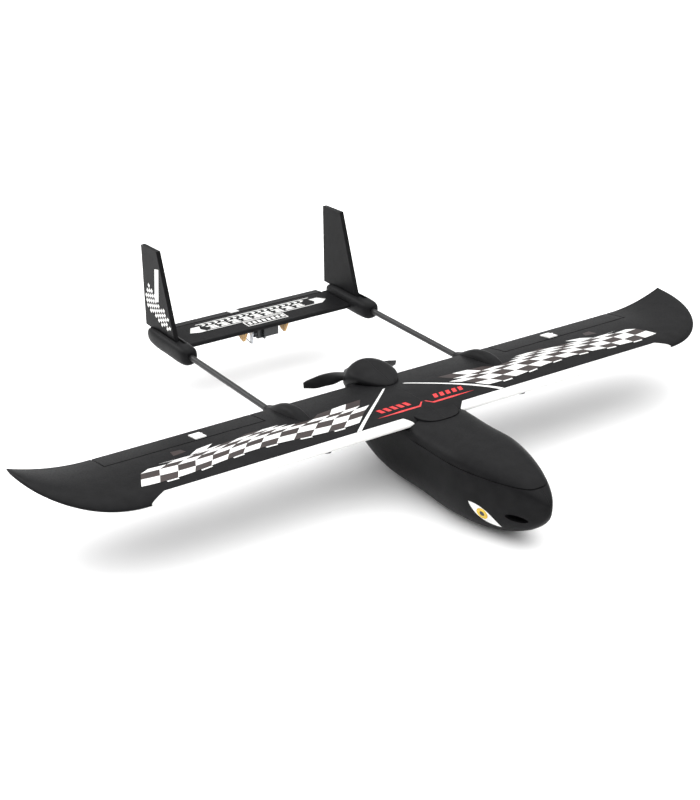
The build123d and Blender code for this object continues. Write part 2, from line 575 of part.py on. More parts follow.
# ---------------------------------------------------------------- fuselage shells and hatch
hatch_room = block(-FAR, FAR, -FAR, LE_Y - SEAM_GAP, SEAM_Z, FAR)
saddle_grown = saddle_half(SEAM_GAP, SEAM_Z, FAR)
saddle_grown = saddle_grown + mirrored(saddle_grown)
hatch_hollow = loft([body_section(y, BODY_WALL) for y in (-205.0, -180.0, -146.7, -108.0)])
seam_core = loft([body_section(y, SEAM_GROOVE) for y in NOSE_STATIONS[1:] + [-96.0, TAPER_START]])
seam_groove = body & block(
    -FAR, FAR, -FAR, LE_Y - SEAM_GAP, SEAM_Z - SEAM_GROOVE / 2, SEAM_Z + SEAM_GROOVE / 2
)
seam_groove = seam_groove - seam_core
canopy_hatch = (body & hatch_room) - saddle_grown - hatch_hollow - seam_groove

saddle_block = saddle_half(0.0, SEAM_Z, FAR)
saddle_block = saddle_block + mirrored(saddle_block)
above_wing = block(-FAR, FAR, LE_Y - SEAM_GAP, FAR, COWL_FLOOR, FAR)
ahead_of_wing = block(-FAR, FAR, LE_Y - SEAM_GAP, LE_Y + 8.0, -9.2, FAR)
tub = body - hatch_room - seam_groove - bay - saddle_block - above_wing - ahead_of_wing - upper_rear - both_wings - ring_bore
tub = tub - rod_y(TUNNEL_R, BAY_REAR - 12.0, FIREWALL_Y + 1.0, 0, TUNNEL_Z)
inlet_y, inlet_z = INLET_CENTRE
for side in SIDES.values():
    inlet = Pos(side * 20.0, inlet_y, inlet_z) * Rot(0, 90, 0) * extrude(
        Ellipse(INLET_HEIGHT / 2, INLET_LENGTH / 2), 16.0, both=True
    )
    tub = tub - inlet

hatch_magnets, tub_magnets = Part(), Part()
for side in SIDES.values():
    for x, y in MAGNETS:
        hatch_magnets = hatch_magnets + rod_z(MAGNET_R, SEAM_Z, SEAM_Z + MAGNET_THICK, side * x, y)
        tub_magnets = tub_magnets + rod_z(MAGNET_R, SEAM_Z - MAGNET_THICK, SEAM_Z, side * x, y)
canopy_hatch = canopy_hatch - hatch_magnets
tub = tub - tub_magnets

# ---------------------------------------------------------------- battery bay contents
tray = centred(TRAY_SIZE, TRAY_CENTRE)
tub = tub - tray
battery = centred(BATTERY_SIZE, BATTERY_CENTRE)
battery = fillet(battery.edges().filter_by(Axis.Y), 3.0)
strap_outer = (BATTERY_SIZE[0] + 2 * STRAP_THICK, STRAP_WIDTH, BATTERY_SIZE[2] + TRAY_SIZE[2] + 2 * STRAP_THICK)
strap_inner = (BATTERY_SIZE[0], STRAP_WIDTH + 1, BATTERY_SIZE[2] + TRAY_SIZE[2])
strap_centre = (0.0, BATTERY_CENTRE[1], BATTERY_CENTRE[2] - TRAY_SIZE[2] / 2)
battery_strap = centred(strap_outer, strap_centre) - centred(strap_inner, strap_centre)
tray = tray - battery_strap
esc = centred(ESC_SIZE, ESC_CENTRE)
esc = fillet(esc.edges().filter_by(Axis.Y), 2.0)
receiver = centred(RECEIVER_SIZE, RECEIVER_CENTRE)
receiver = fillet(receiver.edges().filter_by(Axis.Z), 1.5)
esc_rear = ESC_CENTRE[1] + ESC_SIZE[1] / 2
WIRE_R, WIRE_PITCH, WIRE_BEND = 0.9, 2.6, 8.0
motor_wires = Part()
for index in (-1, 0, 1):
    wire_x = index * WIRE_PITCH
    route = FilletPolyline(
        (wire_x, esc_rear, ESC_CENTRE[2] + 1.0), (wire_x, WIRE_RISE_Y, ESC_CENTRE[2] + 1.0),
        (wire_x, WIRE_RISE_Y, TUNNEL_Z), (wire_x, FIREWALL_Y, TUNNEL_Z), radius=WIRE_BEND,
    )
    start = Plane(origin=route @ 0, z_dir=route % 0)
    motor_wires = motor_wires + sweep(start * Circle(WIRE_R), path=route)

# ---------------------------------------------------------------- write every piece
fuselage_half = tub & block(0, FAR, -FAR, FAR, -FAR, FAR)
save("canopy_hatch", canopy_hatch)
save("hatch_magnets", hatch_magnets)
save("fuselage_magnets", tub_magnets)
save("battery_tray", tray)
save("battery_pack", battery)
save("battery_strap", battery_strap)
save("speed_controller", esc)
save("receiver", receiver)
save("motor_wires", motor_wires)
save("motor_cowl", motor_cowl)
save("motor_firewall", firewall)
save("motor_base", motor_base)
save("motor_stator", stator)
save("motor_screws", screws)
save("motor_bell", motor_bell)
save("motor_shaft", motor_shaft)
save("propeller", propeller)
save("prop_nut", prop_nut)
save("wing_spar", spar)
save("stabilizer", stabilizer)
save("elevator", elevator)
save("servo_skids", servo_skids)

for name, side in SIDES.items():
    save(f"fuselage_{name}", on_side(fuselage_half, side))
    save(f"wing_{name}", on_side(wing, side))
    save(f"leading_edge_{name}", on_side(leading_edge, side))
    save(f"aileron_{name}", on_side(aileron, side))
    save(f"aileron_hinge_leaves_{name}", on_side(Part() + aileron_leaves_moving, side))
    save(f"aileron_servo_{name}", on_side(aileron_servo, side))
    save(f"aileron_servo_arm_{name}", on_side(aileron_arm, side))
    save(f"aileron_pushrod_{name}", on_side(aileron_rod, side))
    save(f"aileron_horn_{name}", on_side(aileron_horn, side))
    save(f"aileron_horn_plate_{name}", on_side(aileron_horn_plate, side))
    save(f"boom_mount_{name}", on_side(boom_mount, side))
    save(f"tail_boom_{name}", on_side(boom, side))
    save(f"tail_pod_{name}", on_side(pod, side))
    save(f"fin_{name}", on_side(fin, side))

save("elevator_hinge_leaves", Part() + elevator_leaves_moving)
save("elevator_servo", elevator_servo)
save("elevator_servo_arm", elevator_arm)
save("elevator_pushrod", elevator_rod)
save("elevator_horn", elevator_horn)
save("elevator_horn_plate", elevator_horn_plate)
fixed_leaves, all_pins = Part() + elevator_leaves_fixed, Part() + elevator_pins
for side in SIDES.values():
    for fixed, pin in zip(aileron_leaves_fixed, aileron_pins):
        fixed_leaves = fixed_leaves + on_side(fixed, side)
        all_pins = all_pins + on_side(pin, side)
save("hinge_leaves_fixed", fixed_leaves)
save("hinge_pins", all_pins)
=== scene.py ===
import json
import math
import random

import bmesh
import bpy
from mathutils import Matrix, Vector
from mathutils.bvhtree import BVHTree


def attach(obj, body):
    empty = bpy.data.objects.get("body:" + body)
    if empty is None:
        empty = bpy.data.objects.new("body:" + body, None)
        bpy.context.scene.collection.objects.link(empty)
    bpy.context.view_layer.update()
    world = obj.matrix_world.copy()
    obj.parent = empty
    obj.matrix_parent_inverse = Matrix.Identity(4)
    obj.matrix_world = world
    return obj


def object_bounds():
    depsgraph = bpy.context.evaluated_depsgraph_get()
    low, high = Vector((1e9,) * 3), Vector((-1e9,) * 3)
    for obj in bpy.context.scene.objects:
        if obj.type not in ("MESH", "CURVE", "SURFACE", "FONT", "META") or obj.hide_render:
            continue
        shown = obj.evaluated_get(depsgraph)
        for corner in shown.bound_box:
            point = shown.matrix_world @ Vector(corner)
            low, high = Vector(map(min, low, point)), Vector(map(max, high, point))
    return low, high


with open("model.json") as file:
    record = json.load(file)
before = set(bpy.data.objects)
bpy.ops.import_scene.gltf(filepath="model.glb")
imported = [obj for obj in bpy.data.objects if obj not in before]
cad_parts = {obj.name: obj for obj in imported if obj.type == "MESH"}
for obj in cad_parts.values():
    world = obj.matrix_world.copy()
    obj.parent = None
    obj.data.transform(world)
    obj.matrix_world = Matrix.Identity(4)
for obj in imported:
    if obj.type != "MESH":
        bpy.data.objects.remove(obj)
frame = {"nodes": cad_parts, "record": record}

cad_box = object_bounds()
nodes = frame["nodes"]
joints = {j["name"]: j for j in frame["record"]["behaviour"]["joints"]}
MM = 0.001
SIDES = {"left": 1, "right": -1}

# The design datum: the aileron hinge line is at y 0, and the wing's upper skin there is at z 0.
HINGE_DEPTH = 3.7  # how far the hinge axis lies under that skin
hinge = Vector(joints["aileron_left_hinge"]["pos_m"])
DATUM = Vector((0.0, hinge.y, hinge.z + HINGE_DEPTH * MM))


def at(x, y, z):
    """A point given in millimetres from the datum, in the row frame."""
    return DATUM + Vector((x, y, z)) * MM


# ------------------------------------------------------------------ materials
def srgb(code):
    """The linear colour of a hex code."""
    value = [int(code[i:i + 2], 16) / 255 for i in (0, 2, 4)]
    return tuple(c / 12.92 if c <= 0.04045 else ((c + 0.055) / 1.055) ** 2.4 for c in value) + (1.0,)


class Mat:
    """A node material built in one place: colours and bumps from procedural textures."""

    def __init__(self, name, roughness=0.5, metallic=0.0, specular=0.5, coat=0.0, coat_roughness=0.1, sheen=0.0):
        self.mat = bpy.data.materials.new(name)
        self.mat.use_nodes = True
        self.tree = self.mat.node_tree
        self.shader = self.tree.nodes["Principled BSDF"]
        settings = {
            "Roughness": roughness, "Metallic": metallic, "Specular IOR Level": specular,
            "Coat Weight": coat, "Coat Roughness": coat_roughness, "Sheen Weight": sheen,
        }
        for socket, value in settings.items():
            self.shader.inputs[socket].default_value = value
        self.height = None
        self.coords = self.add("ShaderNodeTexCoord").outputs["Object"]

    def add(self, kind, **values):
        node = self.tree.nodes.new(kind)
        for key, value in values.items():
            if hasattr(node, key):
                setattr(node, key, value)
            else:
                node.inputs[key.replace("_", " ")].default_value = value
        return node

    def link(self, a, b):
        self.tree.links.new(a, b)

    def stretched(self, scale):
        node = self.add("ShaderNodeMapping")
        node.inputs["Scale"].default_value = scale
        self.link(self.coords, node.inputs["Vector"])
        return node.outputs["Vector"]

    def noise(self, scale, detail=3.0, rough=0.5, vector=None):
        node = self.add("ShaderNodeTexNoise", Scale=scale, Detail=detail, Roughness=rough)
        self.link(vector or self.coords, node.inputs["Vector"])
        return node.outputs["Fac"]

    def cells(self, scale):
        node = self.add("ShaderNodeTexVoronoi", feature="DISTANCE_TO_EDGE", Scale=scale)
        self.link(self.coords, node.inputs["Vector"])
        return node.outputs["Distance"]

    def wave(self, scale, axis="X", distortion=0.0, vector=None):
        node = self.add("ShaderNodeTexWave", wave_type="BANDS", bands_direction=axis,
                        Scale=scale, Distortion=distortion)
        self.link(vector or self.coords, node.inputs["Vector"])
        return node.outputs["Fac"]

    def ramp(self, fac, *stops):
        node = self.add("ShaderNodeValToRGB")
        elements = node.color_ramp.elements
        while len(elements) < len(stops):
            elements.new(0.5)
        for element, (place, colour) in zip(elements, stops):
            element.position = place
            element.color = srgb(colour) if isinstance(colour, str) else (colour, colour, colour, 1.0)
        self.link(fac, node.inputs["Fac"])
        return node.outputs["Color"]

    def span(self, fac, low, high, start=0.0, end=1.0):
        node = self.add("ShaderNodeMapRange")
        for key, value in (("From Min", start), ("From Max", end), ("To Min", low), ("To Max", high)):
            node.inputs[key].default_value = value
        self.link(fac, node.inputs["Value"])
        return node.outputs["Result"]

    def mix(self, fac, a, b):
        node = self.add("ShaderNodeMix", data_type="RGBA")
        for value, place in ((fac, 0), (a, 6), (b, 7)):
            if isinstance(value, bpy.types.NodeSocket):
                self.link(value, node.inputs[place])
            else:
                node.inputs[place].default_value = value
        return node.outputs[2]

    def math(self, operation, a, b=0.0, c=0.0):
        node = self.add("ShaderNodeMath", operation=operation)
        for place, value in enumerate((a, b, c)):
            if isinstance(value, bpy.types.NodeSocket):
                self.link(value, node.inputs[place])
            else:
                node.inputs[place].default_value = value
        return node.outputs[0]

    def part(self, axis):
        node = self.add("ShaderNodeSeparateXYZ")
        self.link(self.coords, node.inputs[0])
        return node.outputs[axis]

    def colour(self, value):
        if isinstance(value, bpy.types.NodeSocket):
            self.link(value, self.shader.inputs["Base Color"])
        else:
            self.shader.inputs["Base Color"].default_value = srgb(value)

    def rough(self, value):
        self.link(value, self.shader.inputs["Roughness"])

    def bump(self, height, strength, distance):
        node = self.add("ShaderNodeBump", Strength=strength, Distance=distance)
        self.link(height, node.inputs["Height"])
        if self.height is not None:
            self.link(self.height, node.inputs["Normal"])
        self.height = node.outputs["Normal"]
        self.link(self.height, self.shader.inputs["Normal"])


def foam(name, dark, light, roughness, specular, seam=False):
    """Moulded bead foam: a faint net of beads, a soft skin, and a glue seam on the centre line."""
    m = Mat(name, roughness=roughness, specular=specular)
    m.colour(m.ramp(m.noise(90.0, 4.0), (0.3, dark), (0.7, light)))
    beads = m.ramp(m.cells(330.0), (0.0, 0.0), (0.12, 1.0))
    m.rough(m.span(beads, roughness + 0.07, roughness))
    m.bump(m.noise(55.0, 2.0), 0.12, 0.0006)
    m.bump(beads, 0.1, 0.00012)
    m.bump(m.noise(2600.0, 2.0), 0.12, 0.00004)
    if seam:
        m.bump(m.span(m.math("ABSOLUTE", m.part("X")), 0.0, 1.0, 0.0, 0.00035), 0.6, 0.0003)
    return m.mat


def film(name, low, high, roughness=0.32, coat=0.0):
    """Printed vinyl film with a faint orange-peel and a little uneven ink."""
    m = Mat(name, roughness=roughness, coat=coat)
    m.colour(m.ramp(m.noise(140.0, 3.0), (0.35, low), (0.65, high)))
    m.rough(m.span(m.noise(420.0, 2.0), roughness - 0.05, roughness + 0.07))
    m.bump(m.noise(900.0, 2.0), 0.08, 0.00005)
    return m.mat


def moulded(name, low, high, roughness=0.4, grain=1800.0, strength=0.12, coat=0.0):
    """Injection-moulded plastic with a spark-eroded grain."""
    m = Mat(name, roughness=roughness, coat=coat)
    m.colour(m.ramp(m.noise(160.0, 3.0), (0.35, low), (0.65, high)))
    m.rough(m.span(m.noise(grain, 2.0), roughness - 0.06, roughness + 0.08))
    m.bump(m.noise(grain, 3.0), strength, 0.00006)
    return m.mat


def metal(name, low, high, roughness=0.3, stretch=(60.0, 2200.0, 60.0)):
    """Turned or drawn metal: fine lines along one direction."""
    m = Mat(name, roughness=roughness, metallic=1.0)
    lines = m.noise(1.0, 4.0, 0.6, m.stretched(stretch))
    m.colour(m.ramp(lines, (0.3, low), (0.7, high)))
    m.rough(m.span(lines, roughness - 0.08, roughness + 0.12))
    m.bump(lines, 0.06, 0.00004)
    return m.mat


def carbon(name):
    """Pultruded carbon tube: long fibres, small resin flecks, thin clear skin."""
    m = Mat(name, roughness=0.42, specular=0.3, coat=0.1, coat_roughness=0.3)
    fibre = m.noise(1.0, 5.0, 0.65, m.stretched((2600.0, 26.0, 2600.0)))
    m.colour(m.ramp(fibre, (0.3, "0e0e0f"), (0.6, "171718"), (0.8, "242526")))
    m.rough(m.span(fibre, 0.34, 0.5))
    m.bump(fibre, 0.15, 0.00005)
    return m.mat


def plywood(name):
    """Birch ply: plies through the thickness, and grain on the faces."""
    m = Mat(name, roughness=0.6)
    grain = m.noise(1.0, 6.0, 0.62, m.stretched((900.0, 50.0, 420.0)))
    rings = m.wave(60.0, "Y", 6.0, m.stretched((1.0, 1.0, 3.0)))
    m.colour(m.mix(m.span(rings, 0.0, 0.45), m.ramp(grain, (0.3, "a97f45"), (0.7, "d3ae72")), srgb("8f6432")))
    m.rough(m.span(grain, 0.52, 0.7))
    m.bump(grain, 0.2, 0.0001)
    return m.mat


def wrap(name, low, high, band, roughness=0.28):
    """Shrink wrap over cells or a board: soft wrinkles, with a paler band across it."""
    m = Mat(name, roughness=roughness, coat=0.2)
    folds = m.noise(1.0, 3.0, 0.5, m.stretched((260.0, 60.0, 260.0)))
    base = m.ramp(folds, (0.3, low), (0.7, high))
    bars = m.ramp(m.wave(14.0, "Y"), (0.93, 0.0), (0.95, 1.0))
    m.colour(m.mix(bars, base, srgb(band)))
    m.bump(folds, 0.35, 0.0006)
    return m.mat


def fabric(name, low, high):
    """Hook-and-loop webbing."""
    m = Mat(name, roughness=0.85, sheen=0.3)
    weave = m.math("MULTIPLY", m.wave(700.0, "X"), m.wave(700.0, "Y"))
    m.colour(m.ramp(weave, (0.1, low), (0.8, high)))
    m.bump(weave, 0.5, 0.0003)
    return m.mat


def windings(name):
    """A stator: dark laminations with copper wire seen between them."""
    m = Mat(name, roughness=0.35, metallic=1.0)
    turns = m.wave(900.0, "Y", 1.5)
    m.colour(m.ramp(turns, (0.2, "5a2f18"), (0.6, "b8713c"), (0.9, "d39a62")))
    m.bump(turns, 0.5, 0.0002)
    return m.mat


FOAM = foam("black_foam_skin", "121213", "181819", 0.42, 0.07)
FOAM_SEAMED = foam("black_foam_skin_seamed", "121213", "181819", 0.42, 0.07, seam=True)
WHITE_FOAM = foam("white_foam_skin", "dcdcda", "e4e4e2", 0.5, 0.3)
WHITE_FILM = film("white_vinyl", "e0e0de", "eaeae8")
DARK_FILM = film("dark_vinyl", "1a0d0b", "261410", 0.42)
RED_FILM = film("red_vinyl", "c5161b", "e2262a")
AMBER_FILM = film("amber_vinyl", "c9a21c", "e6c63a", 0.22, 0.4)
BLACK_FILM = film("black_vinyl", "0a0a0a", "151515", 0.25, 0.4)
CARBON = carbon("carbon_tube_fibre")
PLY = plywood("birch_ply")
WHITE_NYLON = moulded("white_nylon_grain", "e6e6e3", "f4f4f2", 0.4)
BLACK_NYLON = moulded("black_nylon_grain", "17181a", "202124", 0.42)
GREY_NYLON = moulded("grey_nylon_grain", "b8bcc2", "cdd0d5", 0.38)
CLEAR_NYLON = moulded("natural_nylon_grain", "c9c6bb", "dcd9cf", 0.45)
PROP_PLASTIC = moulded("propeller_nylon_grain", "0e0e0f", "161617", 0.33, 1400.0, 0.08)
CASE = moulded("servo_case_grain", "0f1114", "191c20", 0.3, 1500.0, 0.08, 0.15)
RECEIVER_CASE = moulded("receiver_case_grain", "1b1c1e", "26272a", 0.35)
BATTERY = wrap("battery_shrink_wrap", "1c2f52", "27406e", "c9ccd0")
CONTROLLER = wrap("controller_shrink_wrap", "1a1a1c", "2a2a2d", "55585c")
STRAP = fabric("strap_webbing", "121213", "2b2b2d")
WIRE = moulded("wire_silicone", "141415", "1e1e20", 0.5, 1200.0, 0.1)
BELL = metal("anodised_bell", "1e2024", "34373d", 0.3)
BASE = metal("anodised_base", "3a3d42", "565a60", 0.35, (900.0, 60.0, 900.0))
STEEL = metal("drawn_steel", "8e9296", "b6babd", 0.25, (2200.0, 60.0, 2200.0))
SCREW = metal("black_oxide_screw", "26272a", "3c3e42", 0.35, (900.0, 900.0, 900.0))
NICKEL = metal("nickel_plate", "b5b5b0", "d2d2cd", 0.22, (300.0, 300.0, 900.0))
COPPER = windings("stator_windings")

FINISH = {
    FOAM: ("boom_mount", "canopy_hatch", "tail_pod", "fin", "stabilizer", "elevator",
           "aileron_left", "aileron_right"),
    FOAM_SEAMED: ("fuselage", "wing_left", "wing_right", "motor_cowl"),
    WHITE_FOAM: ("leading_edge",),
    CARBON: ("tail_boom", "wing_spar"),
    PLY: ("battery_tray", "servo_skids", "motor_firewall"),
    WHITE_NYLON: ("aileron_horn", "elevator_horn"),
    BLACK_NYLON: ("aileron_servo_arm",),
    GREY_NYLON: ("elevator_servo_arm",),
    CLEAR_NYLON: ("aileron_hinge_leaves", "elevator_hinge_leaves", "hinge_leaves_fixed"),
    PROP_PLASTIC: ("propeller",),
    CASE: ("aileron_servo", "elevator_servo"),
    RECEIVER_CASE: ("receiver",),
    BATTERY: ("battery_pack",),
    CONTROLLER: ("speed_controller",),
    STRAP: ("battery_strap",),
    WIRE: ("motor_wires",),
    BELL: ("motor_bell",),
    BASE: ("motor_base",),
    STEEL: ("aileron_pushrod", "elevator_pushrod", "hinge_pins", "motor_shaft"),
    SCREW: ("motor_screws", "prop_nut"),
    NICKEL: ("hatch_magnets", "fuselage_magnets"),
    COPPER: ("motor_stator",),
}


def finish_of(name):
    """The material whose longest matching stem names this node."""
    found = [
        (len(stem), i) for i, stems in enumerate(FINISH.values()) for stem in stems if name.startswith(stem)
    ]
    return list(FINISH)[max(found)[1]]


for name, obj in nodes.items():
    for place in obj.material_slots:
        place.material = finish_of(name)


# ------------------------------------------------------------------ pieces
def make(name, verts, faces, material, body, sharp=0.6):
    """A mesh piece, smooth except at edges sharper than an angle in radians."""
    mesh = bpy.data.meshes.new(name)
    mesh.from_pydata([tuple(v) for v in verts], [], faces)
    mesh.polygons.foreach_set("use_smooth", [True] * len(mesh.polygons))
    bm = bmesh.new()
    bm.from_mesh(mesh)
    bmesh.ops.recalc_face_normals(bm, faces=bm.faces[:])
    bm.to_mesh(mesh)
    bm.free()
    mesh.set_sharp_from_angle(angle=sharp)
    mesh.materials.append(material)
    obj = bpy.data.objects.new(name, mesh)
    bpy.context.scene.collection.objects.link(obj)
    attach(obj, body)
    return obj


def skin_of(*names):
    """One tree for rays onto the outer skin of some CAD nodes."""
    verts, faces = [], []
    for name in names:
        mesh = nodes[name].data
        base = len(verts)
        verts += [v.co.copy() for v in mesh.vertices]
        faces += [tuple(base + i for i in p.vertices) for p in mesh.polygons]
    return BVHTree.FromPolygons(verts, faces)


class Sheet:
    """A flat drawing plane in millimetres, whose shapes are dropped onto a skin along its normal."""

    def __init__(self, tree, origin, right, up, inward):
        self.tree, self.origin = tree, origin
        self.right, self.up, self.inward = Vector(right), Vector(up), Vector(inward)

    def drop(self, u, v):
        start = self.origin + self.right * (u * MM) + self.up * (v * MM)
        hit = self.tree.ray_cast(start, self.inward)[0]
        return hit


LIFT, SINK = 0.00009, 0.00004


def decal(name, sheet, shapes, material, body, step=2.5, lift=LIFT):
    """Thin film cut to the shapes and laid on the sheet's skin, as one closed piece."""
    bm = bmesh.new()
    for shape in shapes:
        bm.faces.new([bm.verts.new((u, v, 0.0)) for u, v in shape])
    for axis in (0, 1):
        values = [v.co[axis] for v in bm.verts]
        normal = Vector((1, 0, 0)) if axis == 0 else Vector((0, 1, 0))
        for i in range(math.ceil(min(values) / step), math.floor(max(values) / step) + 1):
            bmesh.ops.bisect_plane(bm, geom=bm.verts[:] + bm.edges[:] + bm.faces[:],
                                   plane_co=normal * (i * step), plane_no=normal, dist=1e-5)
    bmesh.ops.triangulate(bm, faces=bm.faces[:])
    bm.verts.index_update()
    hits = [sheet.drop(v.co.x, v.co.y) for v in bm.verts]
    lost = [tuple(v.co) for v, hit in zip(bm.verts, hits) if hit is None]
    if lost:
        raise ValueError(f"{name} runs off its skin at {lost[:3]}")
    count = len(hits)
    verts = [hit - sheet.inward * lift for hit in hits] + [hit + sheet.inward * SINK for hit in hits]
    faces = []
    for face in bm.faces:
        ring = [v.index for v in face.verts]
        faces += [ring, [i + count for i in reversed(ring)]]
    for edge in bm.edges:
        if len(edge.link_faces) == 1:
            a, b = edge.verts[0].index, edge.verts[1].index
            faces.append([a, b, b + count, a + count])
    bm.free()
    return make(name, verts, faces, material, body)


top_skin = skin_of("wing_left", "wing_right", "boom_mount_left", "boom_mount_right",
                   "leading_edge_left", "leading_edge_right", "motor_cowl")
DOWN = (0, 0, -1)
WING_TOP = Sheet(top_skin, at(0, 0, 60), (1, 0, 0), (0, 1, 0), DOWN)


def mirror(shapes):
    return [[(-u, v) for u, v in shape] for shape in shapes]


def on_both_wings(stem, shapes, material):
    """The same shapes on the left wing and, mirrored, on the right one."""
    for side, sign in SIDES.items():
        decal(f"{stem}_{side}", WING_TOP, shapes if sign > 0 else mirror(shapes), material, "airframe")


# ---- the waving chequered band on each wing ----
CELL = 17.6     # spanwise size of a square
FIRST = 59.8    # nearest column line to the centre, at the band's front edge
COLUMNS = 14
ROWS = 6


def row_line(row, out):
    """Where a row line is, fore and aft, at a distance out along the wing."""
    base, swing, crest, length = (
        (-56.5, 3.5, 275.0, 180.0),
        (-47.8, 3.4, 257.0, 170.0),
        (-38.9, 2.7, 240.0, 165.0),
        (-33.5, 2.0, 235.0, 150.0),
        (-28.5, 2.0, 235.0, 150.0),
        (-20.0 - 0.052 * (out - 90.0), 1.6, 250.0, 130.0),
        (-12.4 - 0.05 * (out - 90.0), 2.4, 250.0, 110.0),
    )[row]
    return base - swing * math.cos(2 * math.pi * (out - crest) / length)


def column_line(column, row):
    """How far out a column line is where it crosses a row line."""
    out = FIRST + CELL * column
    fold = min(1.0, max(0.0, (out - 130.0) / 110.0))
    return out - 9.6 * row + fold * (0.0, 4.6, 9.2, 9.0, 6.0, 2.0, 0.0)[row]


def cell(column, row, trim=0.0):
    """The four corners of a square of the band, with its sides bent along the rows."""
    near, far = [], []
    for line in (row, row + 1):
        a, b = column_line(column, line), column_line(column + 1, line)
        edge = [a + (b - a) * t for t in (0.0, 0.33, 0.66, 1.0)]
        (near if line == row else far).extend((out, row_line(line, out)) for out in edge)
    far = [(out, near[-1][1] + (v - near[-1][1]) * (1.0 - trim)) for out, v in far]
    return near + far[::-1]


def arc_out(y):
    """How far out the white arc's middle is at a station."""
    t = (y + 71.5) / 65.0
    return 86.0 - 74.0 * t - 7.0 * t * (1.0 - t)


def in_band(shape):
    """Whether a square keeps clear of the white arc."""
    return all(out > arc_out(y) + 4.5 for out, y in shape)


def outer_limit(y):
    """Where the band ends towards the tip, on a slant."""
    edge = ((-60.0, 309.0), (-35.0, 297.0), (-27.0, 270.0), (-21.0, 259.0), (-4.0, 250.0))
    for (y0, out0), (y1, out1) in zip(edge, edge[1:]):
        if y <= y1:
            return out0 + (out1 - out0) * (y - y0) / (y1 - y0)
    return edge[-1][1]


def on_mount(shape):
    """Whether a square touches the hump of the boom mount, which the band leaves bare."""
    return any(105.5 < out < 128.0 and y > -27.0 for out, y in shape)


RAGGED = (0.0, 0.0, 0.0, 0.06, 0.22, 0.4)  # share of squares missing from each row
chance = random.Random(7)
white, dark = [], []
for row in range(ROWS):
    for column in range(COLUMNS + row // 2):
        ragged = chance.random() < RAGGED[row]
        shape = cell(column, row, chance.uniform(0.0, 0.5) if row == ROWS - 1 else 0.0)
        if ragged or on_mount(shape) or not in_band(shape):
            continue
        if any(out > outer_limit(y) + 3.0 for out, y in shape):
            continue
        (white if (column + row) % 2 else dark).append(shape)
        if row == 0 and column % 2 == 0:
            # a thin white streak just ahead of each dark square at the front
            run = [(out, y - 0.6) for out, y in shape[:3]]
            white.append([(out, y - 1.7) for out, y in run] + run[::-1])
dark.append([(255.0, -21.5), (241.0, -19.5), (243.0, -12.0), (253.0, -11.0)])
on_both_wings("chequer_white", white, WHITE_FILM)
on_both_wings("chequer_dark", dark, DARK_FILM)

# ---- white arcs that close the centre section ----
ARC_FRONT, ARC_RUN, ARC_STEPS = -71.0, 64.5, 20
ARC_HALF, ARC_TAPER = 2.6, 1.2  # half width at the front, and how much of it is lost by the rear
stations = [ARC_FRONT + ARC_RUN * i / ARC_STEPS for i in range(ARC_STEPS + 1)]
inner = [(arc_out(y) - ARC_HALF + ARC_TAPER * i / ARC_STEPS, y) for i, y in enumerate(stations)]
outer = [(arc_out(y) + ARC_HALF - ARC_TAPER * i / ARC_STEPS, y) for i, y in enumerate(stations)]
on_both_wings("arc", [inner + outer[::-1]], WHITE_FILM)

# ---- plain red bars on the centre section ----
bars = [[(8, -62.6), (30, -62.6), (58, -61.6), (30, -60.2), (8, -60.4), (3, -55.5), (1, -55.5)]]
for i in range(5):
    u = 14 + 7.6 * i
    bars.append([(u, -55.5), (u + 4.6, -55.5), (u + 6.8, -48.5), (u + 2.2, -48.5)])
decal("centre_bars", WING_TOP, bars + mirror(bars), RED_FILM, "airframe")

# ---- fins: a plain bar and a ragged chequer patch on each outboard side ----
bar = [[(257.5, 68.0), (266.5, 66.0), (270.5, 27.0), (261.5, 30.0)]]


def fin_front(z):
    """Where the fin's leading edge is at a height."""
    return 228.5 + 32.2 * (z + 6.0) / 93.0


PATCH_CELL, PATCH_COLUMNS, PATCH_ROWS = 3.7, 16, 7
PATCH_START = (289.0, 34.0)  # middle of its upper rear end, aft and up
ALONG = (-0.887, -0.461)  # the way it runs, forward and down
patch = []
for column in range(PATCH_COLUMNS):
    for row in range(PATCH_ROWS):
        if (column + row) % 2 or chance.random() < (0.35 if row in (0, PATCH_ROWS - 1) else 0.04):
            continue
        corners = []
        for i, j in ((0, 0), (1, 0), (1, 1), (0, 1)):
            along, across = PATCH_CELL * (column + i), PATCH_CELL * (row + j - PATCH_ROWS / 2)
            across -= 3.0 * math.sin(math.pi * along / 60.0)
            corners.append((PATCH_START[0] + ALONG[0] * along + ALONG[1] * across,
                            PATCH_START[1] + ALONG[1] * along - ALONG[0] * across))
        if all(fin_front(z) + 1.2 < y < 292.5 and z > -1.0 for y, z in corners):
            patch.append(corners)
for side, sign in SIDES.items():
    sheet = Sheet(skin_of(f"fin_{side}"), at(200 * sign, 0, 0), (0, 1, 0), (0, 0, 1), (-sign, 0, 0))
    decal(f"fin_bar_{side}", sheet, bar, WHITE_FILM, "airframe")
    decal(f"fin_chequer_{side}", sheet, patch, WHITE_FILM, "airframe")

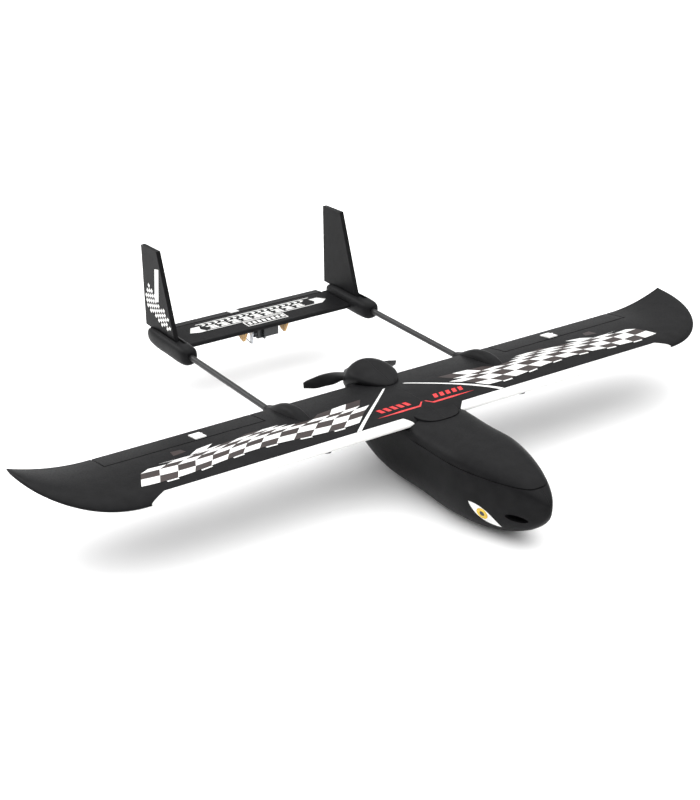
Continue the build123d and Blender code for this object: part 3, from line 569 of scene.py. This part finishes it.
# ---- stabilizer: a pointed strip of plain blocks and chevrons, and a small plate ahead of it ----
STAB_TOP = Sheet(skin_of("stabilizer"), at(0, 0, 60), (1, 0, 0), (0, 1, 0), DOWN)
white = [[(-86, 256), (-76, 252), (-66, 252), (-71, 260), (-68, 268), (-79, 268)],
         [(93, 259), (84, 252), (73, 252), (78, 260), (75, 268), (86, 268)],
         [(-68, 252), (76, 252), (76, 253.2), (-68, 253.2)],
         [(-70, 272.8), (78, 272.8), (78, 274), (-70, 274)]]
white += [[(x, 266.4), (x + 3.6, 266.4), (x + 6.4, 269), (x + 3.6, 271.6), (x, 271.6), (x + 2.8, 269)]
          for x in range(-66, 68, 8)]
for x in range(-60, 64, 14):
    white.append([(x, 255), (x + 10.5, 255), (x + 10, 257.4), (x - 0.6, 257.4)])
    white.append([(x - 1.6, 262), (x + 9, 262), (x + 8.4, 264.4), (x - 2.2, 264.4)])
    white.append([(x + 2, 258.4), (x + 9.6, 258.4), (x + 9.2, 261), (x + 1.4, 261)])
x0, x1, y0, y1, line = -23.0, 29.0, 237.0, 250.5, 1.2
white += [[(x0, y0), (x1, y0), (x1, y0 + line), (x0, y0 + line)],
          [(x0, y1 - line), (x1, y1 - line), (x1, y1), (x0, y1)],
          [(x0, y0 + line), (x0 + line, y0 + line), (x0 + line, y1 - line), (x0, y1 - line)],
          [(x1 - line, y0 + line), (x1, y0 + line), (x1, y1 - line), (x1 - line, y1 - line)]]
white += [[(x, 240.5), (x + 3.6, 240.5), (x + 3.6, 247), (x, 247)] for x in range(-19, 25, 6)]
decal("stab_blocks", STAB_TOP, white, WHITE_FILM, "airframe")


# ---- a plain almond marking with a disc on each side of the nose ----
def ring_of(cx, cy, radius, count=24):
    """A round outline."""
    return [(cx + radius * math.cos(2 * math.pi * i / count), cy + radius * math.sin(2 * math.pi * i / count))
            for i in range(count)]


def almond(rear, front, high, low, count=14):
    """A pointed outline between two corners, bulging up by one amount and down by another."""
    (y0, z0), (y1, z1) = rear, front
    length = math.hypot(y1 - y0, z1 - z0)
    ny, nz = (z1 - z0) / length, -(y1 - y0) / length
    points = []
    for bulge, order in ((high, range(count)), (-low, range(count, 0, -1))):
        for i in order:
            t = i / count
            rise = bulge * math.sin(math.pi * t) ** 0.8
            points.append((y0 + (y1 - y0) * t + ny * rise, z0 + (z1 - z0) * t + nz * rise))
    return points


almond_outline = almond((-172.7, -43.0), (-203.6, -61.0), 6.2, 6.4)
disc_centre = (-187.0, -51.4)
for side, sign in SIDES.items():
    sheet = Sheet(skin_of(f"fuselage_{side}"), at(90 * sign, 0, 0), (0, 1, 0), (0, 0, 1), (-sign, 0, 0))
    decal(f"almond_{side}", sheet, [almond_outline], WHITE_FILM, "airframe")
    decal(f"almond_disc_{side}", sheet, [ring_of(*disc_centre, 5.8)], AMBER_FILM, "airframe",
          lift=2 * LIFT)
    decal(f"almond_dot_{side}", sheet, [ring_of(*disc_centre, 2.4)], BLACK_FILM, "airframe",
          lift=3 * LIFT)

# ------------------------------------------------------------------ floor, light and camera
FLOOR_HALF = 12.0  # metres
floor_mesh = bpy.data.meshes.new("floor")
floor_mesh.from_pydata(
    [(x * FLOOR_HALF, y * FLOOR_HALF, 0) for x, y in ((-1, -1), (1, -1), (1, 1), (-1, 1))], [], [(0, 1, 2, 3)]
)
floor = bpy.data.objects.new("floor", floor_mesh)
floor.location.z = cad_box[0][2] - 0.0002
paper = Mat("paper_floor", roughness=0.9, specular=0.1)
paper.colour(paper.ramp(paper.noise(3.0, 2.0), (0.3, "fafafa"), (0.7, "fdfdfd")))
floor_mesh.materials.append(paper.mat)
bpy.context.scene.collection.objects.link(floor)

# A bright band around the horizon, a dark one above it and a bright dome, with one wide soft light
# straight above.
BANDS = ((0.18, 1.0), (0.32, 0.12), (0.6, 0.12), (0.8, 1.0))  # sine of the elevation, brightness
world = bpy.data.worlds.new("studio")
bpy.context.scene.world = world
world.use_nodes = True
sky = world.node_tree
direction = sky.nodes.new("ShaderNodeTexCoord")
split = sky.nodes.new("ShaderNodeSeparateXYZ")
shade = sky.nodes.new("ShaderNodeValToRGB")
sky.links.new(direction.outputs["Generated"], split.inputs[0])
sky.links.new(split.outputs["Z"], shade.inputs["Fac"])
sky.links.new(shade.outputs["Color"], sky.nodes["Background"].inputs["Color"])
while len(shade.color_ramp.elements) < len(BANDS):
    shade.color_ramp.elements.new(0.5)
for element, (height, level) in zip(shade.color_ramp.elements, BANDS):
    element.position = height
    element.color = (level, level, level, 1.0)
sky.nodes["Background"].inputs["Strength"].default_value = 1.0


def softbox(name, place, target, size, power):
    """A rectangular soft light aimed at a point."""
    light = bpy.data.lights.new(name, "AREA")
    light.shape = "RECTANGLE"
    light.size, light.size_y = size
    light.energy = power
    obj = bpy.data.objects.new(name, light)
    obj.location = place
    obj.rotation_euler = (Vector(target) - Vector(place)).to_track_quat("-Z", "Y").to_euler()
    bpy.context.scene.collection.objects.link(obj)


overhead = bpy.data.lights.new("overhead", "SUN")
overhead.energy = 3.7
overhead.angle = math.radians(122.0)  # wide, for very soft shadows
bpy.context.scene.collection.objects.link(bpy.data.objects.new("overhead", overhead))
REAR_LIGHT_PLACE, REAR_LIGHT_SIZE, REAR_LIGHT_POWER = (-1.04, 1.87, 1.22), (1.3, 0.7), 16
softbox("rear_left", REAR_LIGHT_PLACE, (0, 0, 0), REAR_LIGHT_SIZE, REAR_LIGHT_POWER)

camera = bpy.data.cameras.new("camera")
camera.sensor_width = 36.0
camera.sensor_fit = "VERTICAL"
camera.sensor_height = 36.0
camera.lens = 71.08
camera.shift_x, camera.shift_y = -0.0036, 0.0256
camera.clip_start = 0.05
eye = bpy.data.objects.new("camera", camera)
CAMERA_PLACE = at(-833.03, -1166.04, 651.35)
turn, rise, roll = (math.radians(angle) for angle in (-34.06, 25.74, -0.16))
back = Vector((math.sin(turn) * math.cos(rise), -math.cos(turn) * math.cos(rise), math.sin(rise)))
right = Vector((0, 0, 1)).cross(back).normalized()
up = back.cross(right)
right, up = right * math.cos(roll) + up * math.sin(roll), up * math.cos(roll) - right * math.sin(roll)
eye.matrix_world = Matrix.Translation(CAMERA_PLACE) @ Matrix((right, up, back)).transposed().to_4x4()
bpy.context.scene.collection.objects.link(eye)
bpy.context.scene.camera = eye
bpy.context.scene.view_settings.view_transform = "Standard"
